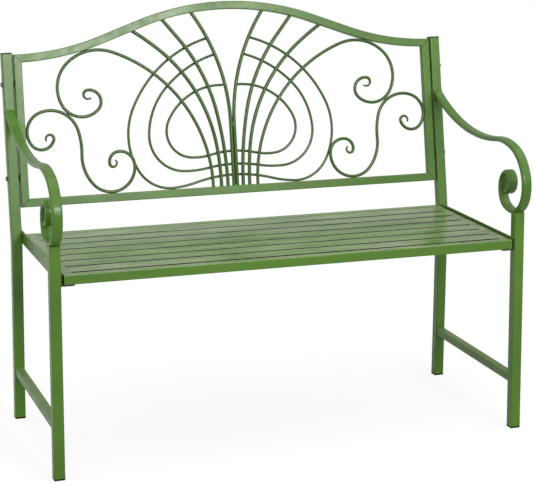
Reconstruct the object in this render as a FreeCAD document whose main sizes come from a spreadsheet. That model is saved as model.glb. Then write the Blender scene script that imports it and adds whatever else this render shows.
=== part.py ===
# Garden bench: a powder-coated steel bench for two, with an arched scroll back.
# Frame: X to the right, Y to the back, Z up; origin on the ground under the middle of the bench.
import FreeCAD, Part
import math
import os
import Sketcher
from FreeCAD import Placement, Rotation, Vector

doc = FreeCAD.newDocument("garden_bench")

# ---------------------------------------------------------------- driving dimensions

SIZES = {
    # side frames
    "bench_width": 1143.5,       # over the outer faces of the legs
    "front_face": -263.39,      # Y of the front faces of the front legs
    "leg_size": 25,             # square tube of legs and posts
    "leg_wall": 1.5,
    "leg_corner": 2.5,
    "front_leg_top": 533,       # the tube is coped to the armrest below this height
    "rear_leg_setback": 460,    # from the front face to the post's centre line at its bend
    "bend_height": 441,
    "bend_radius": 80,
    "leg_splay": 2,             # rear leg below the bend, degrees
    "back_rake": 9.5,           # post above the bend, degrees
    "post_length": 458,         # along the post, from the bend to its top
    "stretcher_size": 20,
    "stretcher_top": 131,
    "tube_wall": 1.2,
    "tube_corner": 2,
    # plastic feet and caps
    "foot_height": 4,
    "cap_height": 3,
    "plug_size": 20.5,
    "plug_depth": 14,
    # armrests
    "arm_width": 25,
    "arm_thickness": 12,
    "arm_wall": 1.5,
    "arm_post_height": 754,
    "arm_heading": 208.5,       # direction in which it leaves the post, degrees
    "arm_lead": 14,             # straight start, buried in the post and cut off there
    "arm_end_wall": 3,          # thickness of the closed end of the scroll
    # seat
    "seat_top": 467.5,
    "seat_width": 1080,
    "seat_tube": 22,
    "slat_width": 48,
    "slat_thickness": 3,
    "slat_edge": 0.6,           # rounding of its long edges
    "slot_width": 8,
    "slat_count": 7,
    "bearer_spacing": 360,
    "bearer_size": 18,
    "angle_leg": 30,
    "angle_thickness": 3,
    "angle_setback": 1,         # its front end behind the front face of the leg
    "angle_overlap": 7,         # its rear end runs this far past the post's centre line
    # back panel, measured up the slope from the bend
    "back_tube": 20,
    "back_width": 1087,
    "back_bottom": 86.5,
    "back_corner": 456.5,
    "arch_angle": 20,
    "arch_crown_radius": 660,
    "arch_foot_radius": 640,
    "arch_foot_straight": 2,
    # scrollwork rods
    "bar_rod": 9,
    "scroll_rod": 8,
    "ring_rod": 6.5,
    "tip_rod": 4.5,
    "bar_depth": -3.5,          # bars stand this far forward of the panel's middle plane
    "ring_depth": 4.4,          # rings lie behind the bars and touch them
    "c_scroll_foot": 58.5,      # its distance from the middle, on the bottom rail
    "s_scroll_across": 473.9,   # place and heading of the S-scroll's upper tip
    "s_scroll_up": 244.9,
    "s_scroll_heading": 68,
    # fasteners
    "bolt_shank": 6,
    "bolt_head": 11,
    "bolt_head_height": 3.5,
    "bolt_head_dome": 2.45,     # rounding of the head's rim
    "washer_diameter": 14,
    "washer_thickness": 1.2,
    "spacer_diameter": 16,
    "rivet_nut_body": 9,
    "rivet_nut_length": 13,
    "back_bolt_low": 158,
    "back_bolt_high": 385,
    "seat_bolt_inset": 70,
}

sheet = doc.addObject("Spreadsheet::Sheet", "Sizes")
for row, (alias, value) in enumerate(SIZES.items(), start=1):
    sheet.set(f"A{row}", alias)
    sheet.set(f"B{row}", str(value))
    sheet.setAlias(f"B{row}", alias)
doc.recompute()


def size(alias):
    """Value of one cell of the sheet."""
    return float(sheet.get(alias))


SIDES = {"left": -1, "right": 1}
LEG_X = (size("bench_width") - size("leg_size")) / 2
END_RAIL_X = (size("seat_width") - size("seat_tube")) / 2
FRONT = size("front_face")
SEAT_DEPTH = 2 * size("seat_tube") + size("slat_count") * size("slat_width") \
    + (size("slat_count") + 1) * size("slot_width")
FIT = 0.05                      # clearance where a cut end meets its neighbour
BELOW = 20                      # the rear post is drawn this far below the ground, then cut level
REACH = 100                     # half the size of cutting tools that only have to be large enough
BOLT_PLAY = 0.6                 # bolt holes over the shank
PARALLEL = 0.999                # cosine from which two directions count as the same
SQUARE_CUT = 0.3                # play of a square-cut tube end against the splayed leg
BOLT_HOLE = f"Sizes.bolt_shank + {BOLT_PLAY}"
RING_BORE = "Sizes.bolt_shank + 0.4"
NUT_BORE = "Sizes.bolt_shank + 0.2"
NUT_HOLE = "Sizes.rivet_nut_body + 0.1"

nodes = []


def keep(obj, label):
    """Name a finished sub-part and put it on the list of nodes to write."""
    obj.Label = label
    nodes.append(obj)
    return obj


def place(obj, position, rotation=None):
    obj.Placement = Placement(Vector(*position), rotation or Rotation())
    return obj


# ---------------------------------------------------------------- body features

def origin_plane(body, role):
    return next(f for f in body.Origin.OriginFeatures if f.Role == role)


def new_sketch(body, name, plane="XY_Plane"):
    sketch = body.newObject("Sketcher::SketchObject", name)
    sketch.AttachmentSupport = [(origin_plane(body, plane), "")]
    sketch.MapMode = "FlatFace"
    return sketch


def bind_polygon(sketch, corners):
    """Closed outline; each corner is a pair of expressions, tied to the sketch's origin."""
    points = [Vector(i, (i * i) % 3, 0) for i in range(len(corners))]
    for i, point in enumerate(points):
        sketch.addGeometry(Part.LineSegment(point, points[(i + 1) % len(points)]))
    for i in range(len(corners)):
        sketch.addConstraint(Sketcher.Constraint("Coincident", i, 2, (i + 1) % len(corners), 1))
    for i, corner in enumerate(corners):
        for axis, expression in zip(("DistanceX", "DistanceY"), corner):
            index = sketch.addConstraint(Sketcher.Constraint(axis, -1, 1, i, 1, 1.0))
            sketch.setExpression(f"Constraints[{index}]", expression)


def rectangle(sketch, width, height):
    """Rectangle about the origin; width and height are expressions."""
    bind_polygon(sketch, [(f"-({width}) / 2", f"-({height}) / 2"), (f"({width}) / 2", f"-({height}) / 2"),
                          (f"({width}) / 2", f"({height}) / 2"), (f"-({width}) / 2", f"({height}) / 2")])


def pad(body, sketch, length, name="Pad", midplane=False):
    feature = body.newObject("PartDesign::Pad", name)
    feature.Profile = sketch
    feature.setExpression("Length", length)
    feature.Midplane = midplane
    doc.recompute()
    return feature


def pocket(body, sketch, depth=None, name="Pocket"):
    """Cut equally to both sides of the sketch; without a depth it goes right through."""
    feature = body.newObject("PartDesign::Pocket", name)
    feature.Profile = sketch
    if depth is None:
        feature.Type = "ThroughAll"
    else:
        feature.setExpression("Length", depth)
    feature.Midplane = True
    before = body.Shape.Volume
    doc.recompute()
    if body.Shape.Volume >= before:
        raise RuntimeError(f"{body.Label}: {name} cuts nothing")
    return feature


def round_edges(body, base, along, radius):
    """Round the edges of base that run along one axis."""
    names = [f"Edge{i}" for i, edge in enumerate(base.Shape.Edges, start=1)
             if abs(edge.tangentAt(edge.FirstParameter).dot(along)) > PARALLEL]
    feature = body.newObject("PartDesign::Fillet", "Corners")
    feature.Base = (base, names)
    feature.setExpression("Radius", radius)
    doc.recompute()
    return feature


def square_tube(name, width, height, wall, corner, length):
    """Straight square tube along its own Z; every argument but the name is an expression."""
    body = doc.addObject("PartDesign::Body", name)
    outline = new_sketch(body, "Outline")
    rectangle(outline, width, height)
    bar = pad(body, outline, length)
    round_edges(body, bar, Vector(0, 0, 1), corner)
    bore = new_sketch(body, "Bore")
    rectangle(bore, f"{width} - 2 * {wall}", f"{height} - 2 * {wall}")
    pocket(body, bore, name="Hollow")
    return body


def mitred_tube(name, length):
    """Back-frame tube along its own X, mitred at both ends; its long face is at -Y."""
    body = doc.addObject("PartDesign::Body", name)
    outline = new_sketch(body, "Outline")
    half, side = f"({length}) / 2", "Sizes.back_tube"
    bind_polygon(outline, [(f"-{half}", f"-{side} / 2"), (half, f"-{side} / 2"),
                           (f"{half} - {side}", f"{side} / 2"), (f"-({half} - {side})", f"{side} / 2")])
    bar = pad(body, outline, side, midplane=True)
    round_edges(body, bar, Vector(1, 0, 0), "Sizes.tube_corner")
    bore = new_sketch(body, "Bore")
    rectangle(bore, length, f"{side} - 2 * Sizes.tube_wall")
    pocket(body, bore, f"{side} - 2 * Sizes.tube_wall", name="Hollow")
    return body


def bolt_holes(body, centres, diameter, depth, forward):
    """Holes square to the body's XZ plane at centres (x, z), towards its -Y if forward."""
    sketch = new_sketch(body, "Holes", "XZ_Plane")
    for x, z in centres:
        circle = sketch.addGeometry(Part.Circle(Vector(x, z, 0), Vector(0, 0, 1), 1))
        index = sketch.addConstraint(Sketcher.Constraint("Diameter", circle, 2))
        sketch.setExpression(f"Constraints[{index}]", diameter)
    holes = body.newObject("PartDesign::Pocket", "BoltHoles")
    holes.Profile = sketch
    holes.setExpression("Length", depth)
    holes.Reversed = forward
    before = body.Shape.Volume
    doc.recompute()
    if body.Shape.Volume >= before:
        raise RuntimeError(f"{body.Label}: the bolt holes cut nothing")


# ---------------------------------------------------------------- bent work

def run_edges(start, heading, runs):
    """Edges of a path of tangent runs in the XY plane.

    A run is ("line", length) or (radius, turn), the turn in degrees, positive to the left.
    Returns the edges, the end point and the end heading.
    """
    point, angle, edges = Vector(*start, 0), math.radians(heading), []
    for first, second in runs:
        ahead = Vector(math.cos(angle), math.sin(angle), 0)
        if first == "line":
            end = point + ahead * second
            edges.append(Part.LineSegment(point, end).toShape())
        else:
            turn = math.radians(second)
            side = Vector(-ahead.y, ahead.x, 0) * math.copysign(first, turn)
            centre = point + side
            middle, end = [centre - Rotation(Vector(0, 0, 1), math.degrees(t)).multVec(side)
                           for t in (turn / 2, turn)]
            edges.append(Part.Arc(point, middle, end).toShape())
            angle += turn
        point = end
    return edges, point, math.degrees(angle)


def round_section(point, heading, diameter):
    ahead = Vector(math.cos(math.radians(heading)), math.sin(math.radians(heading)), 0)
    return Part.Wire(Part.Circle(point, ahead, diameter / 2).toShape())


def oval_section(point, heading, width, thickness):
    """Flat oval across a path in the XY plane, its width square to that plane."""
    radius, flat = thickness / 2, (width - thickness) / 2
    corners = [Vector(0, side * radius, end * flat) for side, end in ((1, -1), (1, 1), (-1, 1), (-1, -1))]
    tips = [Vector(0, 0, width / 2), Vector(0, 0, -width / 2)]
    edges = [Part.LineSegment(corners[0], corners[1]), Part.Arc(corners[1], tips[0], corners[2]),
             Part.LineSegment(corners[2], corners[3]), Part.Arc(corners[3], tips[1], corners[0])]
    section = Part.Wire([edge.toShape() for edge in edges])
    section.Placement = Placement(point, Rotation(Vector(0, 0, 1), heading))
    return section


def square_section(point, heading, side, corner):
    """Rounded square across a path in the XY plane."""
    plate = Part.makeBox(side, side, side, Vector(0, -side / 2, -side / 2))
    if corner > 0:
        plate = plate.makeFillet(corner, [e for e in plate.Edges if abs(e.tangentAt(0).x) > PARALLEL])
    face = min(plate.Faces, key=lambda f: f.CenterOfMass.x)
    section = Part.Wire(Part.__sortEdges__(face.OuterWire.Edges))
    section.Placement = Placement(point, Rotation(Vector(0, 0, 1), heading))
    return section


def sweep(edges, *sections):
    """Solid along a path in the XY plane, through one section or from one to the next."""
    shell = Part.BRepOffsetAPI.MakePipeShell(Part.Wire(edges))
    shell.setBiNormalMode(Vector(0, 0, 1))
    for section in sections:
        shell.add(section)
    shell.build()
    shell.makeSolid()
    return shell.shape()


def rod(start, heading, runs, diameter, tips=(None, None)):
    """Round rod; tips are the diameters to which its first and last runs taper, or None."""
    solids, point, angle, first, last = [], start, heading, 0, len(runs)
    if tips[0]:
        edges, end, turned = run_edges(point, angle, runs[:1])
        origin = Vector(*point, 0)
        sections = round_section(origin, angle, tips[0]), round_section(end, turned, diameter)
        solids.append(sweep(edges, *sections))
        solids.append(Part.makeSphere(tips[0] / 2, origin))
        point, angle, first = (end.x, end.y), turned, 1
    if tips[1]:
        last -= 1
    edges, end, turned = run_edges(point, angle, runs[first:last])
    solids.append(sweep(edges, round_section(Vector(*point, 0), angle, diameter)))
    if tips[1]:
        edges, tip, final = run_edges((end.x, end.y), turned, runs[last:])
        solids.append(sweep(edges, round_section(end, turned, diameter), round_section(tip, final, tips[1])))
        solids.append(Part.makeSphere(tips[1] / 2, tip))
    return solids[0].fuse(solids[1:]).removeSplitter() if len(solids) > 1 else solids[0]


def mirrored(shape, side):
    return shape.mirror(Vector(), Vector(1, 0, 0)) if side < 0 else shape


def add_shape(label, shape, placement):
    """Document object for a bent piece, made in its own plane and then placed."""
    feature = doc.addObject("Part::Feature", label)
    feature.Shape = shape
    feature.Placement = placement
    return keep(feature, label)


# Planes of the bent work: the side plane has X to the back and Y up; the panel plane has
# X across and Y up the slope, from the bend of the posts.
def side_plane(x):
    return Placement(Vector(x, FRONT, 0), Rotation(Vector(0, 1, 0), Vector(0, 0, 1), Vector(1, 0, 0), "XYZ"))


def panel_plane(forward=0.0):
    turn = Rotation(Vector(1, 0, 0), 90 - size("back_rake"))
    bend = Vector(0, FRONT + size("rear_leg_setback"), size("bend_height"))
    return Placement(bend + turn.multVec(Vector(0, 0, forward)), turn)


# ---------------------------------------------------------------- side frames

def post_path(extra=0.0):
    """Centre line of the rear post in the side plane, from below the ground to its top."""
    splay, rake = math.radians(size("leg_splay")), math.radians(size("back_rake"))
    turn = splay + rake
    tangent = size("bend_radius") * math.tan(turn / 2)
    leg_length = (size("bend_height") + BELOW) / math.cos(splay)
    start = (size("rear_leg_setback") + leg_length * math.sin(splay), -BELOW)
    runs = [("line", leg_length - tangent), (size("bend_radius"), -math.degrees(turn)),
            ("line", size("post_length") - tangent + extra)]
    return start, 90 + size("leg_splay"), runs


def post_bolt_tool(along, diameter):
    """Cylinder across the post at one height of the back panel, in the side plane."""
    rake = math.radians(size("back_rake"))
    centre = Vector(size("rear_leg_setback") + along * math.sin(rake),
                    size("bend_height") + along * math.cos(rake), -size("leg_size"))
    return Part.makeCylinder(diameter / 2, 2 * size("leg_size"), centre)


def post_shape(side_length, corner, extra=0.0):
    start, heading, runs = post_path(extra)
    edges, _, _ = run_edges(start, heading, runs)
    return sweep(edges, square_section(Vector(*start, 0), heading, side_length, corner))


def rear_post():
    """Bent square tube: splayed leg below the seat, raked post above it."""
    outer = post_shape(size("leg_size"), size("leg_corner"))
    inner = post_shape(size("leg_size") - 2 * size("leg_wall"), size("leg_corner") - size("leg_wall"), 1)
    below = Part.makeBox(2 * REACH, REACH, 2 * REACH,
                         Vector(size("rear_leg_setback") - REACH, size("foot_height") - REACH, -REACH))
    bolts = [post_bolt_tool(size(height), size("bolt_shank") + BOLT_PLAY)
             for height in ("back_bolt_low", "back_bolt_high")]
    return outer.cut([inner, below] + bolts)


def armrest_runs():
    """Armrest from the post: a dip, the rise over the front leg, and the scroll under it."""
    return [(585.5, -37.5), (199, 28), (98, 48), (63, 8), (78, 30), (63, 56), (83, 41),
            (40, 53), (55, 30), (40, 49), (21, 115), (27, 82)]


def armrest_sweep(grow, end_gap):
    """Armrest's flat oval grown by a distance; it starts inside the post."""
    heading, lead = size("arm_heading"), size("arm_lead")
    rake = math.radians(size("back_rake"))
    up_post = (size("arm_post_height") - size("bend_height")) / math.cos(rake)
    face = size("rear_leg_setback") + up_post * math.sin(rake) - size("leg_size") / 2 / math.cos(rake)
    back = math.radians(heading)
    start = (face - lead * math.cos(back), size("arm_post_height") - lead * math.sin(back))
    runs = [("line", lead)] + armrest_runs()
    radius, turn = runs[-1]
    runs[-1] = (radius, turn - math.degrees(end_gap / radius))
    edges, _, _ = run_edges(start, heading, runs)
    section = oval_section(Vector(*start, 0), heading, size("arm_width") + 2 * grow,
                           size("arm_thickness") + 2 * grow)
    return sweep(edges, section)


def armrest():
    outer = armrest_sweep(0, 0)
    inner = armrest_sweep(-size("arm_wall"), size("arm_end_wall"))
    return outer.cut([inner, post_shape(size("leg_size") + 2 * FIT, size("leg_corner"))])


def front_leg(name):
    """Square tube, coped at its top to the armrest that stands on it."""
    tube = square_tube(name + "_tube", "Sizes.leg_size", "Sizes.leg_size", "Sizes.leg_wall",
                       "Sizes.leg_corner", "Sizes.front_leg_top - Sizes.foot_height")
    tube.Placement.Base = Vector(0, 0, size("foot_height"))
    scroll = doc.addObject("Part::Feature", name + "_cope")
    scroll.Shape = armrest_sweep(FIT, 0)
    scroll.Placement = Placement(Vector(0, -size("leg_size") / 2, 0), side_plane(0).Rotation)
    leg = doc.addObject("Part::Cut", name)
    leg.Base, leg.Tool = tube, scroll
    return leg


def foot(name, height, facing_up):
    """Plastic end plug for a leg or a post: a square plate with a plug on it."""
    body = doc.addObject("PartDesign::Body", name)
    plate = new_sketch(body, "Plate")
    rectangle(plate, "Sizes.leg_size", "Sizes.leg_size")
    base = pad(body, plate, height)
    round_edges(body, base, Vector(0, 0, 1), "Sizes.leg_corner")
    plug = new_sketch(body, "Plug")
    rectangle(plug, "Sizes.plug_size", "Sizes.plug_size")
    pad(body, plug, f"Sizes.plug_depth + {height}", name="PlugPad")
    if not facing_up:
        body.Placement.Rotation = Rotation(Vector(1, 0, 0), 180)
    return body


def side_frames():
    post, arm = rear_post(), armrest()
    splay = math.tan(math.radians(size("leg_splay")))
    rear_y = FRONT + size("rear_leg_setback")
    for name, side in SIDES.items():
        x = side * LEG_X
        leg_y = FRONT + size("leg_size") / 2
        leg = keep(front_leg(name + "_front_leg"), name + "_front_leg")
        place(leg, (x, leg_y, 0))
        add_shape(name + "_rear_post", post, side_plane(x))
        add_shape(name + "_armrest", arm, side_plane(x))
        front_foot = keep(foot(name + "_front_foot", "Sizes.foot_height", True), name + "_front_foot")
        place(front_foot, (x, leg_y, 0))
        foot_y = rear_y + (size("bend_height") - size("foot_height")) * splay
        rear_foot = keep(foot(name + "_rear_foot", "Sizes.foot_height", True), name + "_rear_foot")
        place(rear_foot, (x, foot_y, 0))
        cap = keep(foot(name + "_post_cap", "Sizes.cap_height", False), name + "_post_cap")
        top = panel_plane().multVec(Vector(x, size("post_length") + size("cap_height"), 0))
        place(cap, tuple(top), Rotation(Vector(1, 0, 0), 180 - size("back_rake")))
        stretcher(name, x)


def stretcher(name, x):
    """Lower side rail between the legs."""
    front = FRONT + size("leg_size")
    rear = FRONT + size("rear_leg_setback") - size("leg_size") / 2 \
        + (size("bend_height") - size("stretcher_top")) * math.tan(math.radians(size("leg_splay")))
    body = square_tube(name + "_stretcher", "Sizes.stretcher_size", "Sizes.stretcher_size",
                       "Sizes.tube_wall", "Sizes.tube_corner", f"{rear - front - SQUARE_CUT:.2f}")
    keep(body, name + "_stretcher")
    height = size("stretcher_top") - size("stretcher_size") / 2
    place(body, (x, front + FIT, height), Rotation(Vector(1, 0, 0), -90))


# ---------------------------------------------------------------- seat

def seat_bolt_places():
    """Distances of the two seat bolts of a side, from the front face of the seat."""
    return [size("seat_bolt_inset"), SEAT_DEPTH - size("seat_bolt_inset")]


def seat_frame():
    along_x, along_y = Rotation(Vector(0, 1, 0), 90), Rotation(Vector(1, 0, 0), -90)
    tube, top = size("seat_tube"), size("seat_top")
    middle = top - tube / 2
    section = ("Sizes.seat_tube", "Sizes.seat_tube", "Sizes.tube_wall", "Sizes.tube_corner")
    for name, y in (("seat_front_rail", tube / 2), ("seat_rear_rail", SEAT_DEPTH - tube / 2)):
        rail = keep(square_tube(name, *section, "Sizes.seat_width"), name)
        place(rail, (-size("seat_width") / 2, FRONT + y, middle), along_x)
    for name, side in SIDES.items():
        label = f"seat_{name}_end_rail"
        rail = keep(square_tube(label, *section, f"{SEAT_DEPTH - 2 * tube - 2 * FIT}"), label)
        centres = [(0, y - tube - FIT) for y in seat_bolt_places()]
        bolt_holes(rail, centres, NUT_HOLE, "Sizes.seat_tube / 2", False)
        place(rail, (side * END_RAIL_X, FRONT + tube + FIT, middle), along_y)
        label = f"seat_{name}_bearer"
        depth = f"Sizes.seat_tube - Sizes.slat_thickness - {2 * FIT}"
        bearer = square_tube(label, "Sizes.bearer_size", depth, "Sizes.tube_wall", "Sizes.tube_corner",
                             f"{SEAT_DEPTH - 2 * tube - 2 * FIT}")
        height = top - size("slat_thickness") - (tube - size("slat_thickness")) / 2 - FIT
        place(keep(bearer, label), (side * size("bearer_spacing") / 2, FRONT + tube + FIT, height), along_y)


def slats():
    """Flat bars between the end rails, flush with the top of the seat frame."""
    pitch = size("slat_width") + size("slot_width")
    first = size("seat_tube") + size("slot_width") + size("slat_width") / 2
    for i in range(int(size("slat_count"))):
        name = f"seat_slat_{i + 1}"
        body = doc.addObject("PartDesign::Body", name)
        outline = new_sketch(body, "Outline")
        rectangle(outline, f"Sizes.seat_width - 2 * Sizes.seat_tube - {2 * FIT}", "Sizes.slat_width")
        bar = pad(body, outline, "Sizes.slat_thickness")
        round_edges(body, bar, Vector(1, 0, 0), "Sizes.slat_edge")
        y = FRONT + first + i * pitch
        place(keep(body, name), (0, y, size("seat_top") - size("slat_thickness")))


def seat_angle(name, side):
    """Angle iron welded to the inner faces of the legs; the seat lies in it."""
    body = doc.addObject("PartDesign::Body", name)
    outline = new_sketch(body, "Outline")
    leg, thick = "Sizes.angle_leg", "Sizes.angle_thickness"
    bind_polygon(outline, [("0", "0"), (leg, "0"), (leg, thick), (thick, thick), (thick, leg), ("0", leg)])
    pad(body, outline, "Sizes.rear_leg_setback + Sizes.angle_overlap - Sizes.angle_setback")
    length = size("rear_leg_setback") + size("angle_overlap") - size("angle_setback")
    from_front = [y - size("angle_setback") for y in seat_bolt_places()]
    line = LEG_X - size("leg_size") / 2 - FIT - END_RAIL_X
    centres = [(line, y if side > 0 else length - y) for y in from_front]
    bolt_holes(body, centres, BOLT_HOLE, "2 * Sizes.angle_thickness", False)
    turn = Rotation(Vector(-side, 0, 0), Vector(0, 0, 1), Vector(0, side, 0), "XYZ")
    wall = side * (LEG_X - size("leg_size") / 2 - FIT)
    bottom = size("seat_top") - size("seat_tube") - size("angle_thickness")
    y = FRONT + size("angle_setback") + (0 if side > 0 else length)
    return place(keep(body, name), (wall, y, bottom - FIT), turn)


# ---------------------------------------------------------------- back panel

def back_arch():
    """Half of the arched top rail's centre line, from the crown outwards, and the crown's height."""
    angle = math.radians(size("arch_angle"))
    radii = size("arch_crown_radius") + size("arch_foot_radius")
    half = size("back_width") / 2
    slope = (half - size("arch_foot_straight") - radii * math.sin(angle)) / math.cos(angle)
    rise = radii * (1 - math.cos(angle)) + slope * math.sin(angle)
    crown = size("back_corner") - size("back_tube") / 2 + rise
    runs = [(size("arch_crown_radius"), -size("arch_angle")), ("line", slope),
            (size("arch_foot_radius"), size("arch_angle")), ("line", size("arch_foot_straight"))]
    return runs, crown


def arch_sweep(side_length, corner):
    runs, crown = back_arch()
    edges, _, _ = run_edges((0, crown), 0, runs)
    half = sweep(edges, square_section(Vector(0, crown, 0), 0, side_length, corner))
    return half.fuse(half.mirror(Vector(), Vector(1, 0, 0))).removeSplitter()


def top_rail():
    """Arched square tube, mitred to the stiles at both ends."""
    tube = arch_sweep(size("back_tube"), size("tube_corner"))
    hollow = arch_sweep(size("back_tube") - 2 * size("tube_wall"), 0)
    corner, half = size("back_corner"), size("back_width") / 2
    mitre = Part.makePolygon([Vector(half, corner, -REACH), Vector(half - REACH, corner - REACH, -REACH),
                              Vector(half + REACH, corner - REACH, -REACH), Vector(half, corner, -REACH)])
    wedge = Part.Face(mitre).extrude(Vector(0, 0, 2 * REACH))
    return tube.cut([hollow, wedge, wedge.mirror(Vector(), Vector(1, 0, 0))])


def back_frame():
    add_shape("top_rail", top_rail(), panel_plane())
    tube, height = size("back_tube"), "Sizes.back_corner - Sizes.back_bottom"
    plane = panel_plane()
    bottom = keep(mitred_tube("bottom_rail", "Sizes.back_width"), "bottom_rail")
    bottom.Placement = plane * Placement(Vector(0, size("back_bottom") + tube / 2, 0), Rotation())
    middle = (size("back_corner") + size("back_bottom")) / 2
    for name, side in SIDES.items():
        stile = keep(mitred_tube(name + "_stile", height), name + "_stile")
        centres = [(side * (size(key) - middle), 0) for key in ("back_bolt_low", "back_bolt_high")]
        bolt_holes(stile, centres, NUT_HOLE, "Sizes.back_tube / 2", True)
        turn = Rotation(Vector(0, 0, 1), side * 90)
        x = side * (size("back_width") - tube) / 2
        stile.Placement = plane * Placement(Vector(x, middle, 0), turn)


def fan_bars(rail):
    """Bars that rise side by side from the bottom rail and fan out to the arch."""
    foot_height = size("back_bottom") + size("back_tube") + FIT
    bars = {
        "inner": (size("bar_rod") / 2 + FIT, [("line", 157), (490, -38)]),
        "middle": (20, [(900, -12), (443, -27), ("line", 85)]),
        "outer": (37, [(760, -7), (400, -44), (714, -8)]),
    }
    for name, side in SIDES.items():
        for label, (x, runs) in bars.items():
            bar = rod((x, foot_height), 90, runs, size("bar_rod")).cut(rail)
            bar = max(bar.Solids, key=lambda solid: solid.Volume)
            add_shape(f"{name}_fan_bar_{label}", mirrored(bar, side), panel_plane(-size("bar_depth")))


def scrolls():
    """The C-scroll that ends the outermost bar, and the S-scroll beside it."""
    foot_height = size("back_bottom") + size("back_tube") + FIT
    c_runs = [(710, -0.5), (366, -69.5), (111, -61), (86, -77), (56, -104.5), (29, -146.5), (11, -204.5)]
    s_runs = [(10, 217), (31, 130.5), (51, 106.5), (71, 93), (184, 18.5), (104, -44.5), (60, -144),
              (36, -94.5), (25, -91), (9, -212.5)]
    for name, side in SIDES.items():
        tip, rod_size = size("tip_rod"), size("scroll_rod")
        c_scroll = rod((size("c_scroll_foot"), foot_height), 90, c_runs, rod_size, (None, tip))
        add_shape(name + "_c_scroll", mirrored(c_scroll, side), panel_plane(-size("bar_depth")))
        s_scroll = rod((size("s_scroll_across"), size("s_scroll_up")), size("s_scroll_heading"), s_runs,
                       rod_size, (tip, tip))
        add_shape(name + "_s_scroll", mirrored(s_scroll, side), panel_plane(-size("bar_depth")))


def rings():
    """Three long loops behind the bars, each one rod from the inner bar round to its mirror image."""
    loops = {
        "outer": (134.2, [(362, -16), (279, 12), (94, 65), (171, 54), (305, 50)]),
        "middle": (161, [(349, -11), (258, 14), (90, 90), (182, 40), (278, 31)]),
        "inner": (194, [(246, -14), (143, 21), (66, 111), (152, 65)]),
    }
    for label, (height, runs) in loops.items():
        half = rod((0, height), 0, runs, size("ring_rod"))
        loop = half.fuse(half.mirror(Vector(), Vector(1, 0, 0))).removeSplitter()
        add_shape("ring_" + label, loop, panel_plane(-size("ring_depth")))


# ---------------------------------------------------------------- fasteners

def cylinder(name, diameter, height, placement):
    """Round piece along its own Z; diameter and height are expressions."""
    piece = doc.addObject("Part::Cylinder", name)
    piece.setExpression("Radius", f"({diameter}) / 2")
    piece.setExpression("Height", height)
    piece.Placement = placement
    return piece


def sleeve(name, outer, bore, height, placement):
    """Washer, spacer or nut body: a cylinder with a hole."""
    ring = doc.addObject("Part::Cut", name)
    ring.Base = cylinder(name + "_body", outer, height, Placement())
    ring.Tool = cylinder(name + "_bore", bore, height, Placement())
    ring.Placement = placement
    return ring


def screw(name, length, placement):
    """Button-head screw along its own Z, its head below zero."""
    shank = cylinder(name + "_shank", "Sizes.bolt_shank", length, Placement())
    head = cylinder(name + "_head", "Sizes.bolt_head", "Sizes.bolt_head_height",
                    Placement(Vector(0, 0, -size("bolt_head_height")), Rotation()))
    doc.recompute()
    rim = [i for i, edge in enumerate(head.Shape.Edges, start=1)
           if len(edge.Vertexes) == 1 and edge.BoundBox.ZMax < -size("bolt_head_height") / 2]
    dome = doc.addObject("Part::Fillet", name + "_dome")
    dome.Base = head
    dome.Edges = [(i, size("bolt_head_dome"), size("bolt_head_dome")) for i in rim]
    bolt = doc.addObject("Part::Fuse", name)
    bolt.Base, bolt.Tool = dome, shank
    bolt.Placement = placement
    return bolt


def group(label, pieces):
    """Identical fasteners as one node of separate solids."""
    compound = doc.addObject("Part::Compound", label)
    compound.Links = pieces
    return keep(compound, label)


def back_fasteners():
    """Two screws a side, through the post and a spacer into a rivet nut in the stile."""
    bolts, washers, spacers, nuts = [], [], [], []
    outer_face, inner_face = LEG_X + size("leg_size") / 2, LEG_X - size("leg_size") / 2
    stile_face = size("back_width") / 2
    for name, side in SIDES.items():
        inwards = panel_plane().Rotation * Rotation(Vector(0, 0, 1), Vector(-side, 0, 0))
        for height in (size("back_bolt_low"), size("back_bolt_high")):
            def at(x):
                return Placement(panel_plane().multVec(Vector(side * x, height, 0)), inwards)
            tag = f"{name}_{height:.0f}"
            washers.append(sleeve("washer_" + tag, "Sizes.washer_diameter", RING_BORE,
                                  "Sizes.washer_thickness", at(outer_face + size("washer_thickness") + FIT)))
            under_head = outer_face + size("washer_thickness") + 2 * FIT
            length = under_head - stile_face + size("rivet_nut_length")
            bolts.append(screw("back_bolt_" + tag, f"{length:.2f}", at(under_head)))
            gap = inner_face - stile_face - 2 * FIT
            spacers.append(sleeve("spacer_" + tag, "Sizes.spacer_diameter", RING_BORE,
                                  f"{gap:.2f}", at(inner_face - FIT)))
            nuts.append(sleeve("nut_" + tag, "Sizes.rivet_nut_body", NUT_BORE,
                               "Sizes.rivet_nut_length", at(stile_face)))
    group("back_bolts", bolts)
    group("back_bolt_washers", washers)
    group("back_spacers", spacers)
    group("back_rivet_nuts", nuts)


def seat_fasteners():
    """Two screws a side, up through the angle into rivet nuts in the end rails."""
    bolts, nuts = [], []
    rail_bottom = size("seat_top") - size("seat_tube")
    flange_bottom = rail_bottom - size("angle_thickness") - FIT
    for name, side in SIDES.items():
        x = side * END_RAIL_X
        for number, y in enumerate(seat_bolt_places(), start=1):
            tag = f"{name}_{number}"
            under_head = Placement(Vector(x, FRONT + y, flange_bottom - FIT), Rotation())
            length = "Sizes.rivet_nut_length + Sizes.angle_thickness"
            bolts.append(screw("seat_bolt_" + tag, length, under_head))
            nut_place = Placement(Vector(x, FRONT + y, rail_bottom), Rotation())
            nuts.append(sleeve("seat_nut_" + tag, "Sizes.rivet_nut_body", NUT_BORE,
                               "Sizes.rivet_nut_length", nut_place))
    group("seat_bolts", bolts)
    group("seat_rivet_nuts", nuts)


# ---------------------------------------------------------------- the bench

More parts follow.
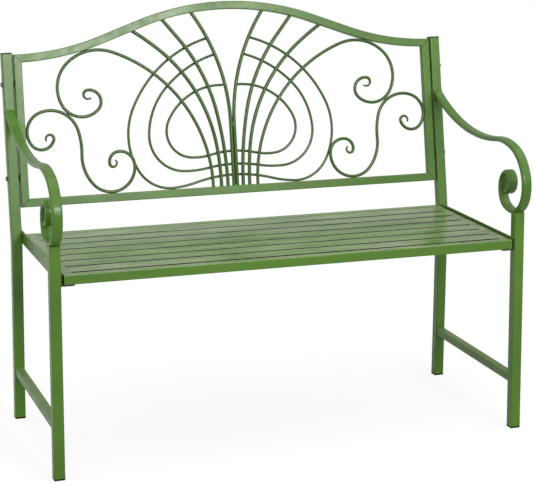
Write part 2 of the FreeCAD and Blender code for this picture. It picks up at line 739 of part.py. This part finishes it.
side_frames()
seat_frame()
slats()
for side_name, side_sign in SIDES.items():
    seat_angle(side_name + "_seat_angle", side_sign)
back_frame()
rail_outline = arch_sweep(size("back_tube") + 2 * FIT, size("tube_corner"))
fan_bars(rail_outline)
scrolls()
rings()
back_fasteners()
seat_fasteners()
doc.recompute()

for obj in doc.Objects:
    if "Invalid" in obj.State or "Error" in obj.State:
        raise RuntimeError(f"{obj.Label} failed: {obj.State}")
for node in nodes:
    if node.Shape.isNull() or not node.Shape.isValid():
        raise RuntimeError(f"{node.Label} has no valid shape")

os.makedirs("parts", exist_ok=True)
for node in nodes:
    node.Shape.exportStep(f"parts/{node.Label}.step")
    print(f"{node.Label:24} solids {len(node.Shape.Solids)}  volume {node.Shape.Volume / 1000:8.1f} cm3")
box = Part.makeCompound([node.Shape for node in nodes]).optimalBoundingBox(False)
print(f"{len(nodes)} nodes; X {box.XMin:.2f} {box.XMax:.2f}  Y {box.YMin:.2f} {box.YMax:.2f}"
      f"  Z {box.ZMin:.2f} {box.ZMax:.2f}")
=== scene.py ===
import math

import bmesh
import bpy
import numpy as np
from mathutils import Matrix, Vector
from mathutils.bvhtree import BVHTree


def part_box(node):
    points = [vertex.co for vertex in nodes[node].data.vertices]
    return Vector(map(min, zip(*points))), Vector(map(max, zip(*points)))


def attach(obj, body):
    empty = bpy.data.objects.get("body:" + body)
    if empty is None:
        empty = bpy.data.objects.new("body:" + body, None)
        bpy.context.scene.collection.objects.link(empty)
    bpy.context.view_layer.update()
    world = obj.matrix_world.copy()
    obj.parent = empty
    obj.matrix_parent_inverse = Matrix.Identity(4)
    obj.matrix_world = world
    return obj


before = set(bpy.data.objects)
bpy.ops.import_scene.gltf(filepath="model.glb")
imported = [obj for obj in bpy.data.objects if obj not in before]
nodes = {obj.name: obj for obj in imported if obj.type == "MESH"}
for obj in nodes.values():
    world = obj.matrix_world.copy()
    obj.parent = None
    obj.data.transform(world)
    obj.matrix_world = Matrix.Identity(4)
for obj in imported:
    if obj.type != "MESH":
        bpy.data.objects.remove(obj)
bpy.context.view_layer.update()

scene = bpy.context.scene
SIDES = {"left": -1, "right": 1}
MM = 0.001


def lin(red, green, blue):
    """Linear colour from 8-bit sRGB."""
    def one(value):
        value /= 255
        return value / 12.92 if value <= 0.04045 else ((value + 0.055) / 1.055) ** 2.4
    return (one(red), one(green), one(blue), 1.0)


# ---------------------------------------------------------------- materials

class Nodes:
    """Short way to build the node tree of a material or of the world."""

    def __init__(self, owner):
        owner.use_nodes = True
        self.owner = owner
        self.tree = owner.node_tree
        self.shader = self.tree.nodes.get("Principled BSDF")
        self.coordinates = self.add("ShaderNodeTexCoord").outputs

    def add(self, kind, **settings):
        node = self.tree.nodes.new(kind)
        for key, value in settings.items():
            setattr(node, key, value)
        return node

    def link(self, start, end):
        self.tree.links.new(start, end)

    def mapped(self, scale):
        node = self.add("ShaderNodeMapping")
        node.inputs["Scale"].default_value = scale
        self.link(self.coordinates["Object"], node.inputs["Vector"])
        return node.outputs["Vector"]

    def noise(self, scale, detail=3.0, roughness=0.55, stretch=(1, 1, 1)):
        """Noise with scale patches to the metre, drawn out along the axes that stretch makes small."""
        node = self.add("ShaderNodeTexNoise")
        node.inputs["Scale"].default_value = scale
        node.inputs["Detail"].default_value = detail
        node.inputs["Roughness"].default_value = roughness
        self.link(self.mapped(stretch), node.inputs["Vector"])
        return node.outputs["Fac"]

    def between(self, value, low, high, start=0.0, end=1.0):
        """Take a value from low...high to start...end, and no further."""
        node = self.add("ShaderNodeMapRange")
        for key, number in zip(("From Min", "From Max", "To Min", "To Max"), (low, high, start, end)):
            node.inputs[key].default_value = number
        self.link(value, node.inputs["Value"])
        return node.outputs["Result"]

    def mix(self, fac, first, second):
        """Mix of two colours; either may be a socket or a plain colour."""
        node = self.add("ShaderNodeMix", data_type="RGBA")
        self.link(fac, node.inputs["Factor"])
        for name, colour in (("A", first), ("B", second)):
            socket = next(s for s in node.inputs if s.name == name and s.type == "RGBA")
            if isinstance(colour, bpy.types.NodeSocket):
                self.link(colour, socket)
            else:
                socket.default_value = colour
        return next(s for s in node.outputs if s.type == "RGBA")

    def math(self, operation, first, second):
        node = self.add("ShaderNodeMath", operation=operation)
        for socket, value in zip(node.inputs, (first, second)):
            if isinstance(value, bpy.types.NodeSocket):
                self.link(value, socket)
            else:
                socket.default_value = value
        return node.outputs[0]

    def choose(self, fac, first, second):
        """Mix of two shaders."""
        node = self.add("ShaderNodeMixShader")
        for socket, source in zip(node.inputs, (fac, first, second)):
            self.link(source, socket)
        return node.outputs[0]

    def split(self, vector):
        """The X, Y and Z of a vector."""
        node = self.add("ShaderNodeSeparateXYZ")
        self.link(vector, node.inputs[0])
        return node.outputs

    def bump(self, height, strength, distance, under=None):
        node = self.add("ShaderNodeBump")
        node.inputs["Strength"].default_value = strength
        node.inputs["Distance"].default_value = distance
        self.link(height, node.inputs["Height"])
        if under is not None:
            self.link(under, node.inputs["Normal"])
        return node.outputs["Normal"]

    def edges(self, radius):
        """1 at convex and concave edges, 0 on flat faces."""
        bevel = self.add("ShaderNodeBevel", samples=4)
        bevel.inputs["Radius"].default_value = radius
        geometry = self.add("ShaderNodeNewGeometry")
        dot = self.add("ShaderNodeVectorMath", operation="DOT_PRODUCT")
        self.link(bevel.outputs["Normal"], dot.inputs[0])
        self.link(geometry.outputs["Normal"], dot.inputs[1])
        on_face, on_edge = 0.995, 0.90
        return self.between(dot.outputs["Value"], on_face, on_edge)


LEAF = (lin(56, 93, 15), lin(68, 106, 21))
# the tubes' green made darker for the rods: painted shade
ROD_SHADED_GREENS = (lin(42, 72, 12), lin(50, 82, 16))
SEAM_GREENS = (lin(22, 34, 12), lin(32, 48, 18))
SPECKS = lin(74, 108, 38)
THIN_COAT = lin(112, 146, 82)
# pale colour for upward faces: dust, and also painted sheen of the light they reflect
DUST_AND_SHEEN = lin(186, 188, 160)
# painted shade for the walls of the seat slots
SLOT_SHADE = lin(12, 16, 8)
# painted shade for the front end faces of the seat angles
ANGLE_END_SHADE = lin(18, 22, 14)
PLASTIC_BLACKS = (lin(5, 5, 5), lin(13, 13, 12))
ZINC_GREYS = (lin(70, 70, 66), lin(112, 112, 106))
EDGE_WEAR = 1.6 * MM
ALONG_SEAT = (0.25, 1, 1)


def powder_coat(name, stretch=(1, 1, 1), dust_and_sheen=0.18, roughness=0.30, edge=0.35, film=0.16, greens=LEAF,
                dark_end=None, slot_top=None):
    """Semi-gloss powder coat: orange peel, faint clouding, thin coat at edges, dust and painted sheen on top.

    Faces that look up are coloured pale by dust and painted sheen and roughened by film, and edges are paler
    by edge. Walls of slots are painted dark as shade just below the height slot_top. What lies in front of
    the depth dark_end is painted dark as shade.
    """
    look = Nodes(bpy.data.materials.new(name))
    # clouds about 11 cm across and specks of 2 mm
    cloud = look.between(look.noise(9.0, 4.0, stretch=stretch), 0.32, 0.68)
    colour = look.mix(cloud, *greens)
    speck = look.between(look.noise(420.0, 2.0), 0.66, 0.74, 0.0, 0.5)
    colour = look.mix(speck, colour, SPECKS)
    if edge:
        uneven = look.between(look.noise(60.0), 0.35, 0.7, 0.3, 1.0)
        worn = look.math("MULTIPLY", look.edges(EDGE_WEAR), uneven)
        colour = look.mix(look.math("MULTIPLY", worn, edge), colour, THIN_COAT)
    # dust and painted sheen on faces that look up, in patches of 4 cm
    facing = look.split(look.add("ShaderNodeNewGeometry").outputs["Normal"])
    upward = look.between(facing["Z"], 0.55, 0.98)
    patches = look.between(look.noise(26.0, 5.0, 0.6, stretch), 0.35, 0.75, 0.25, 1.0)
    dust_and_sheen_mask = look.math("MULTIPLY", upward, patches)
    # upward faces are mixed towards pale: dust and painted sheen
    colour = look.mix(look.math("MULTIPLY", dust_and_sheen_mask, dust_and_sheen), colour, DUST_AND_SHEEN)
    # the walls of the slots just below the slat tops are painted dark: painted shade
    if slot_top is not None:
        height = look.split(look.coordinates["Object"])["Z"]
        slot_shade_mask = look.between(height, slot_top - 0.05 * MM, slot_top - 0.4 * MM)
        wall = look.between(look.math("ABSOLUTE", facing["Y"], 0), 0.5, 0.9)
        colour = look.mix(look.math("MULTIPLY", slot_shade_mask, wall), colour, SLOT_SHADE)
    # the front end faces of the seat angles are painted dark: painted shade
    if dark_end is not None:
        depth = look.split(look.coordinates["Object"])["Y"]
        colour = look.mix(look.between(depth, dark_end, dark_end - 0.2 * MM), colour, ANGLE_END_SHADE)
    look.link(colour, look.shader.inputs["Base Color"])
    rough = look.between(look.noise(34.0, 4.0), 0.3, 0.7, roughness - 0.05, roughness + 0.07)
    rough = look.math("ADD", rough, look.math("MULTIPLY", dust_and_sheen_mask, film))
    look.link(rough, look.shader.inputs["Roughness"])
    look.shader.inputs["Specular IOR Level"].default_value = 0.4
    # orange peel of 2 mm over slow waves of 14 mm
    peel = look.bump(look.noise(520.0, 1.5, 0.4), 0.05, 0.2 * MM)
    waves = look.bump(look.noise(70.0, 2.0, stretch=stretch), 0.05, 0.8 * MM, peel)
    look.link(waves, look.shader.inputs["Normal"])
    return look.owner


def black_plastic():
    """Matt moulded plastic with a fine grain."""
    look = Nodes(bpy.data.materials.new("black_plastic_mat"))
    cloud = look.between(look.noise(60.0, 4.0), 0.35, 0.7)
    look.link(look.mix(cloud, *PLASTIC_BLACKS), look.shader.inputs["Base Color"])
    look.link(look.between(look.noise(140.0), 0.3, 0.7, 0.62, 0.8), look.shader.inputs["Roughness"])
    look.link(look.bump(look.noise(1300.0, 2.0), 0.25, 0.2 * MM), look.shader.inputs["Normal"])
    look.shader.inputs["Specular IOR Level"].default_value = 0.1
    return look.owner


def zinc():
    """Dark, slightly blotchy zinc plate."""
    look = Nodes(bpy.data.materials.new("dark_zinc_mat"))
    blotches = look.between(look.noise(220.0, 4.0), 0.3, 0.7)
    look.link(look.mix(blotches, *ZINC_GREYS), look.shader.inputs["Base Color"])
    look.shader.inputs["Metallic"].default_value = 1.0
    look.link(look.between(look.noise(500.0), 0.3, 0.7, 0.28, 0.45), look.shader.inputs["Roughness"])
    look.link(look.bump(look.noise(1500.0, 1.0), 0.15, 0.1 * MM), look.shader.inputs["Normal"])
    return look.owner


angle_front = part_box("left_seat_angle")[0].y
slat_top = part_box("seat_slat_1")[1].z
coat = powder_coat("powder_coat_tubes")
# rods are painted a darker green than the tubes, as painted shade
coat_rods = powder_coat("powder_coat_rods", dust_and_sheen=0.10, roughness=0.22, edge=0, greens=ROD_SHADED_GREENS)
coat_arms = powder_coat("powder_coat_arms", dust_and_sheen=0.03, roughness=0.24, edge=0.2, film=0.05)
coat_seat = powder_coat("powder_coat_seat", stretch=ALONG_SEAT, dust_and_sheen=0.38, roughness=0.20, film=0.06)
coat_slats = powder_coat("powder_coat_slats", stretch=ALONG_SEAT, dust_and_sheen=0.38, roughness=0.18, edge=0.15,
                         film=0.06, slot_top=slat_top)
coat_seam = powder_coat("powder_coat_seams", dust_and_sheen=0, roughness=0.4, edge=0, greens=SEAM_GREENS)
# seat angles, with painted shade on their front end faces
coat_angle = powder_coat("powder_coat_angles", dark_end=angle_front + 0.4 * MM)
coat_weld = powder_coat("powder_coat_welds", dust_and_sheen=0.05, roughness=0.30, edge=0)
plastic, steel = black_plastic(), zinc()


def finish_of(name):
    """The material of a CAD node."""
    if name.endswith(("_foot", "_cap", "_spacers")):
        return plastic
    if "bolt" in name or "rivet" in name:
        return steel
    if any(word in name for word in ("fan_bar", "scroll", "ring_")):
        return coat_rods
    if name.endswith("_armrest"):
        return coat_arms
    if name.endswith("_seat_angle"):
        return coat_angle
    if "slat" in name:
        return coat_slats
    return coat_seat if name.startswith("seat_") else coat


for name, obj in nodes.items():
    obj.data.materials.clear()
    obj.data.materials.append(finish_of(name))


# ---------------------------------------------------------------- where nodes meet

# vertices this near the other node belong to a joint with it
WELDED = 0.3 * MM
STRETCHER_REACH = 0.6 * MM  # a stretcher's square end stands 0.24 mm off the splayed post
ROD_REACH = 0.7 * MM        # crossing rods are up to 0.65 mm apart, and rarely nearest at a vertex
WIDER_REACH = 0.8 * MM      # for a second look, from the other rod

# vertices nearer to each other than this belong to the same joint
ROD_CROSSING = 8 * MM
ROD_END = 12 * MM
TUBE_END = 30 * MM
LEG_TOP = 40 * MM
MITRE = 60 * MM


def vertices(name):
    mesh = nodes[name].data
    points = np.zeros(len(mesh.vertices) * 3)
    mesh.vertices.foreach_get("co", points)
    return points.reshape(-1, 3)


trees = {}


def tree(name):
    """A node's faces, for finding the nearest point on them."""
    if name not in trees:
        mesh = nodes[name].data
        trees[name] = BVHTree.FromPolygons([v.co for v in mesh.vertices], [p.vertices for p in mesh.polygons])
    return trees[name]


def contacts(name, other, apart, reach=WELDED):
    """Groups of a node's vertices within reach of another node, one group for each joint."""
    low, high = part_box(other)
    points = vertices(name)
    inside = np.all((points > np.array(low) - reach) & (points < np.array(high) + reach), axis=1)
    surface = tree(other)
    near = [point for point in points[inside] if surface.find_nearest(Vector(point), reach)[0] is not None]
    groups = []
    for point in near:
        joined, separate = [], []
        for group in groups:
            beside = min(np.abs(np.array(group) - point).sum(axis=1)) < apart
            (joined if beside else separate).append(group)
        groups = separate + [[member for group in joined for member in group] + [point]]
    return [np.array(group) for group in groups]


def outline(points, normal):
    """The outermost of the points in each direction about their middle, in order."""
    directions, inner_wall = 40, 0.55
    normal = Vector(normal).normalized()
    side = normal.orthogonal().normalized()
    up = normal.cross(side)
    middle = points.mean(axis=0)
    flat = np.stack([(points - middle) @ np.array(side), (points - middle) @ np.array(up)], axis=1)
    angle, distance = np.arctan2(flat[:, 1], flat[:, 0]), np.linalg.norm(flat, axis=1)
    bins = np.floor((angle + math.pi) / (2 * math.pi) * directions).astype(int)
    kept = [max(np.where(bins == b)[0], key=lambda i: distance[i]) for b in sorted(set(bins))]
    kept = sorted((i for i in kept if distance[i] > inner_wall * distance.max()), key=lambda i: angle[i])
    return points[kept]


def spread(points):
    """Middle, directions from longest to shortest, and length of a group of points."""
    middle = points.mean(axis=0)
    _, _, axes = np.linalg.svd(points - middle)
    along = (points - middle) @ axes[0]
    return middle, axes, along.max() - along.min()


# ---------------------------------------------------------------- weld beads

BEAD_STEP = 0.55 * MM
BEAD_SIDES = 8
FEWEST_STEPS = 8
RIPPLE_PITCH = 2.2 * MM
RIPPLE_DEPTH = 0.10
UNEVENNESS = 0.05
THIN_END = 0.35             # an open end's radius, as a share of the bead's
TAPER = 1.5                 # the thin ends' length, in radii
rng = np.random.default_rng(7)


def resample(path, step, closed):
    """Points at even steps along a polyline."""
    if closed:
        path = np.vstack([path, path[:1]])
    lengths = np.concatenate([[0], np.cumsum(np.linalg.norm(np.diff(path, axis=0), axis=1))])
    count = max(FEWEST_STEPS, int(lengths[-1] / step))
    wanted = np.linspace(0, lengths[-1], count, endpoint=not closed)
    return np.stack([np.interp(wanted, lengths, path[:, k]) for k in range(3)], axis=1)


def tube(bm, path, radii, closed):
    """Tube mesh through the points, with one radius a point."""
    rings, count = [], len(path)
    for i, point in enumerate(path):
        before = path[(i - 1) % count] if closed or i else path[0]
        after = path[(i + 1) % count] if closed or i < count - 1 else path[-1]
        along = Vector(after - before).normalized()
        side = along.orthogonal().normalized()
        if rings:
            side = (last_side - along * last_side.dot(along)).normalized()
        last_side = side
        up = along.cross(side)
        ring = []
        for k in range(BEAD_SIDES):
            angle = 2 * math.pi * k / BEAD_SIDES
            outward = side * math.cos(angle) + up * math.sin(angle)
            ring.append(bm.verts.new(Vector(point) + outward * radii[i]))
        rings.append(ring)
    for i in range(count if closed else count - 1):
        first, second = rings[i], rings[(i + 1) % count]
        shift = 0
        if closed and i == count - 1:
            shift = min(range(BEAD_SIDES), key=lambda s: (second[s].co - first[0].co).length)
        for k in range(BEAD_SIDES):
            bm.faces.new((first[k], first[(k + 1) % BEAD_SIDES], second[(k + 1 + shift) % BEAD_SIDES],
                          second[(k + shift) % BEAD_SIDES]))
    if not closed:
        bm.faces.new(list(reversed(rings[0])))
        bm.faces.new(rings[-1])


def bead(bm, path, radius, closed):
    """Rippled weld bead along a path, thinner at its ends if it has any."""
    path = resample(path, BEAD_STEP, closed)
    steps = np.arange(len(path))
    ripple = 1 + RIPPLE_DEPTH * np.abs(np.sin(np.pi * steps * BEAD_STEP / RIPPLE_PITCH))
    radii = radius * (ripple + UNEVENNESS * rng.standard_normal(len(path)))
    if not closed:
        from_end = np.minimum(steps, steps[::-1]) * BEAD_STEP
        radii = radii * np.clip(THIN_END + from_end / (TAPER * radius), THIN_END, 1)
    tube(bm, path, radii, closed)


def straight_bead(bm, start, end, radius):
    start, end = np.array(start), np.array(end)
    bead(bm, np.array([start, (start + end) / 2, end]), radius, False)


def finish_piece(bm, name, material):
    """Turn the beads into one smooth piece that rides on the bench."""
    mesh = bpy.data.meshes.new(name)
    bmesh.ops.recalc_face_normals(bm, faces=bm.faces)
    bm.to_mesh(mesh)
    bm.free()
    for face in mesh.polygons:
        face.use_smooth = True
    obj = bpy.data.objects.new(name, mesh)
    scene.collection.objects.link(obj)
    mesh.materials.append(material)
    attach(obj, "root")


RAKE = math.radians(9.5)    # of the back panel
across_panel = np.array(Vector((0, -math.cos(RAKE), math.sin(RAKE))))
up_panel = np.array(Vector((0, math.sin(RAKE), math.cos(RAKE))))
BARS = ("fan_bar_inner", "fan_bar_middle", "fan_bar_outer", "c_scroll")
RINGS = ("ring_outer", "ring_middle", "ring_inner")
RAILS = ("bottom_rail", "top_rail")


def weld_rod_ends():
    """Beads around the ends of bars and scrolls on the rails."""
    bm = bmesh.new()
    radius = 1.3 * MM
    for side in SIDES:
        for part in BARS:
            name = f"{side}_{part}"
            for group in contacts(name, "bottom_rail", ROD_END):
                bead(bm, outline(group, up_panel), radius, True)
            if part == "c_scroll":
                continue
            for group in contacts(name, "top_rail", ROD_END):
                _, axes, _ = spread(group)
                bead(bm, outline(group, axes[2]), radius, True)
    finish_piece(bm, "weld_rod_ends", coat_weld)


def weld_crossings(bm):
    """Scrolls on the frame and on each other, and rings across the bars."""
    touching = [(f"{s}_c_scroll", "top_rail") for s in SIDES]
    touching += [(f"{s}_s_scroll", f"{s}_stile") for s in SIDES]
    touching += [(f"{s}_s_scroll", "bottom_rail") for s in SIDES]
    touching += [(f"{s}_s_scroll", f"{s}_c_scroll") for s in SIDES]
    touching += [("ring_outer", "bottom_rail")]
    touching += [(ring, f"{s}_{part}") for ring in RINGS for s in SIDES for part in BARS]
    shortest, longest = 4.4 * MM, 12 * MM
    for name, other in touching:
        crossing = name.startswith("ring_") and other != "bottom_rail"
        radius = (1.5 if crossing else 2.0) * MM
        groups = contacts(name, other, ROD_CROSSING, ROD_REACH)
        for group in groups or contacts(other, name, ROD_CROSSING, WIDER_REACH):
            middle, axes, length = spread(group)
            half = axes[0] * max(shortest, min(length, longest)) / 2
            straight_bead(bm, middle - half, middle + half, radius)


def weld_inner_bars(bm):
    """The bead in front, where the two inner bars part."""
    for group in contacts("left_fan_bar_inner", "right_fan_bar_inner", ROD_END):
        parting = group[group[:, 2].argmax()] + across_panel * 2 * MM
        straight_bead(bm, parting - up_panel * 9 * MM, parting + up_panel * 3.6 * MM, 2.4 * MM)


def weld_ring_ends(bm):
    """Short beads that join the upper ends of the rings to the inner bars."""
    end_disc = 6.6 * MM
    for ring in RINGS:
        low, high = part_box(ring)
        for side, sign in SIDES.items():
            bar = tree(f"{side}_fan_bar_inner")
            points = vertices(ring)
            upper = points[(points[:, 2] > (low.z + high.z) / 2) & (points[:, 0] * sign > 0)]
            tip = min(upper, key=lambda p: bar.find_nearest(Vector(p))[3])
            middle = upper[np.linalg.norm(upper - tip, axis=1) < end_disc].mean(axis=0)
            on_bar = np.array(bar.find_nearest(Vector(middle))[0])
            onward = (on_bar - middle) / np.linalg.norm(on_bar - middle)
            straight_bead(bm, middle - onward * MM, on_bar + onward * 2 * MM, 2.6 * MM)


def weld_rod_contacts():
    """Beads where rods touch the frame or each other."""
    bm = bmesh.new()
    weld_crossings(bm)
    weld_inner_bars(bm)
    weld_ring_ends(bm)
    finish_piece(bm, "weld_rod_contacts", coat_weld)


def weld_side_frames():
    """Beads around the joints of legs, posts, stretchers and armrests."""
    bm = bmesh.new()
    along_y, along_z = (0, 1, 0), (0, 0, 1)
    for side in SIDES:
        leg, post, arm = f"{side}_front_leg", f"{side}_rear_post", f"{side}_armrest"
        for upright in (leg, post):
            for group in contacts(f"{side}_stretcher", upright, TUBE_END, STRETCHER_REACH):
                bead(bm, outline(group, along_y), 1.6 * MM, True)
        for group in contacts(leg, arm, LEG_TOP):
            bead(bm, outline(group, along_z), 1.5 * MM, True)
        for group in contacts(arm, post, TUBE_END):
            bead(bm, outline(group, along_y), 1.5 * MM, True)
    finish_piece(bm, "weld_side_frames", coat_weld)


def mitres(side):
    """The joints of a stile with both rails of the back frame."""
    return [group for rail in RAILS for group in contacts(f"{side}_stile", rail, MITRE)]


def weld_frame_corners():
    """Beads in the inner corners of the back frame, and along the seat angles behind the front legs."""
    bm = bmesh.new()
    for side, sign in SIDES.items():
        low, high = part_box(f"{side}_stile")
        inner = low.x if sign > 0 else high.x
        for group in mitres(side):
            line = group[np.abs(group[:, 0] - inner) < 3 * MM]
            if len(line) < 2:
                continue
            depth = line @ across_panel
            straight_bead(bm, line[depth.argmin()], line[depth.argmax()], 2.4 * MM)
        low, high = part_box(f"{side}_seat_angle")
        wall = low.x if sign < 0 else high.x
        leg_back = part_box(f"{side}_front_leg")[1].y
        straight_bead(bm, (wall, leg_back, low.z + 2 * MM), (wall, leg_back, high.z - MM), 1.6 * MM)
    finish_piece(bm, "weld_frame_corners", coat_weld)


def mitre_seams():
    """Thin seams over the mitres of the back frame, on its front and back faces."""
    bm = bmesh.new()
    at_face = 0.4 * MM
    for side in SIDES:
        for group in mitres(side):
            depth = group @ across_panel
            for face in (group[depth > depth.max() - at_face], group[depth < depth.min() + at_face]):
                if len(face) > 1:
                    straight_bead(bm, face[face[:, 0].argmin()], face[face[:, 0].argmax()], 0.75 * MM)
    finish_piece(bm, "mitre_seams", coat_seam)


def weld_seat_frame():
    """Welds ground flush in the grooves beside the rounded edges of the seat's end rails."""
    bm = bmesh.new()
    radius, groove = 1.1 * MM, 0.6 * MM
    slats = [name for name in nodes if name.startswith("seat_slat_")]
    for side, sign in SIDES.items():
        rail_low, rail_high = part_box(f"seat_{side}_end_rail")
        inner, outer = sorted((rail_low.x, rail_high.x), key=abs)
        level = rail_high.z - 1.15 * radius
        across = inner + sign * groove
        for slat in slats:
            low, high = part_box(slat)
            straight_bead(bm, (across, low.y, level), (across, high.y, level), radius)
        for along in (rail_low.y - groove, rail_high.y + groove):
            straight_bead(bm, (inner + sign * MM, along, level), (outer - sign * MM, along, level), radius)
    finish_piece(bm, "weld_seat_frame", coat_seat)


weld_rod_ends()
weld_rod_contacts()
weld_side_frames()
weld_frame_corners()
mitre_seams()
weld_seat_frame()


# ---------------------------------------------------------------- floor

def pale_floor():
    """Nearly white floor, darker to the light that it bounces, so that undersides stay dark."""
    half_width = 30
    mesh = bpy.data.meshes.new("floor")
    bm = bmesh.new()
    bmesh.ops.create_grid(bm, x_segments=4, y_segments=4, size=half_width)
    bm.to_mesh(mesh)
    bm.free()
    floor = bpy.data.objects.new("floor", mesh)
    scene.collection.objects.link(floor)
    floor.location.z = -0.3 * MM  # clear of the undersides of the feet
    look = Nodes(bpy.data.materials.new("floor_mat"))
    ray = look.add("ShaderNodeLightPath").outputs
    pale = look.mix(look.noise(1.5), (0.90, 0.90, 0.90, 1), (0.94, 0.94, 0.94, 1))
    bounce = look.mix(ray["Is Glossy Ray"], (0.30, 0.31, 0.29, 1), (0.55, 0.56, 0.54, 1))
    look.link(look.mix(ray["Is Camera Ray"], bounce, pale), look.shader.inputs["Base Color"])
    look.shader.inputs["Roughness"].default_value = 0.9
    look.shader.inputs["Specular IOR Level"].default_value = 0.1
    glow = look.add("ShaderNodeEmission")
    glow.inputs["Color"].default_value = (0.98, 0.98, 0.98, 1)
    glow_share = look.math("MULTIPLY", ray["Is Camera Ray"], 0.8)
    surface = look.choose(glow_share, look.shader.outputs[0], glow.outputs[0])
    look.link(surface, look.tree.nodes["Material Output"].inputs["Surface"])
    mesh.materials.append(look.owner)


pale_floor()


# ---------------------------------------------------------------- light

def soft_light(name, position, target, width, height, watts):
    """Rectangular light that the camera doesn't see, turned towards its target."""
    light = bpy.data.lights.new(name, "AREA")
    light.shape = "RECTANGLE"
    light.size, light.size_y, light.energy = width, height, watts
    obj = bpy.data.objects.new(name, light)
    obj.location = position
    obj.rotation_euler = (Vector(target) - Vector(position)).to_track_quat("-Z", "Y").to_euler()
    obj.visible_camera = False
    scene.collection.objects.link(obj)


def overhead_sun():
    """Very soft light from above and in front."""
    sun = bpy.data.lights.new("overhead", "SUN")
    sun.energy, sun.angle = 3.3, math.radians(120)
    obj = bpy.data.objects.new("overhead", sun)
    obj.rotation_euler = Vector((-0.25, 0.55, -0.80)).to_track_quat("-Z", "Y").to_euler()
    scene.collection.objects.link(obj)


def studio_world():
    """Nearly white to the camera, and to all other rays brighter towards the back and the left."""
    world = bpy.data.worlds.new("studio")
    scene.world = world
    look = Nodes(world)
    apart = look.split(look.coordinates["Generated"])
    to_back = look.between(apart["Y"], -0.3, 0.7, 0.16, 0.60)
    to_left = look.between(apart["X"], -0.9, 0.9, 1.7, 0.5)
    lit = look.tree.nodes["Background"]
    lit.inputs["Color"].default_value = (1.0, 1.0, 1.0, 1)
    look.link(look.math("MULTIPLY", to_back, to_left), lit.inputs["Strength"])
    seen = look.add("ShaderNodeBackground")
    seen.inputs["Color"].default_value = (0.96, 0.96, 0.96, 1)
    ray = look.add("ShaderNodeLightPath").outputs
    surface = look.choose(ray["Is Camera Ray"], lit.outputs[0], seen.outputs[0])
    look.link(surface, look.tree.nodes["World Output"].inputs["Surface"])


soft_light("front_light", (0.7, -3.9, 1.95), (0, 0, 0.6), 1.2, 0.8, 72)
soft_light("right_light", (3.6, -2.4, 2.4), (0, 0, 0.5), 1.6, 1.6, 12)
soft_light("left_strip", (-5.2, -0.9, 1.5), (-0.6, 0, 0.6), 0.7, 2.4, 60)
overhead_sun()
studio_world()
scene.view_settings.view_transform = "Standard"


# ---------------------------------------------------------------- camera

def photo_camera():
    """Camera fitted to the photograph's perspective, shifted only as far as its framing needs."""
    camera = bpy.data.cameras.new("camera")
    camera.sensor_width = 36.0
    camera.lens = 124.0
    camera.shift_x, camera.shift_y = -0.0762, -0.1745
    camera.clip_start, camera.clip_end = 0.1, 200
    eye = bpy.data.objects.new("camera", camera)
    scene.collection.objects.link(eye)
    eye.location = (-1.3412, -4.1195, 1.4319)
    azimuth, elevation, roll = math.radians(-19.473), math.radians(9.949), math.radians(0.107)
    backward = Vector((math.sin(azimuth) * math.cos(elevation), -math.cos(azimuth) * math.cos(elevation),
                       math.sin(elevation)))
    right = (-backward).cross(Vector((0, 0, 1))).normalized()
    up = right.cross(-backward)
    rolled_right = right * math.cos(roll) + up * math.sin(roll)
    rolled_up = up * math.cos(roll) - right * math.sin(roll)
    eye.rotation_mode = "QUATERNION"
    eye.rotation_quaternion = Matrix((rolled_right, rolled_up, backward)).transposed().to_quaternion()
    scene.camera = eye


photo_camera()
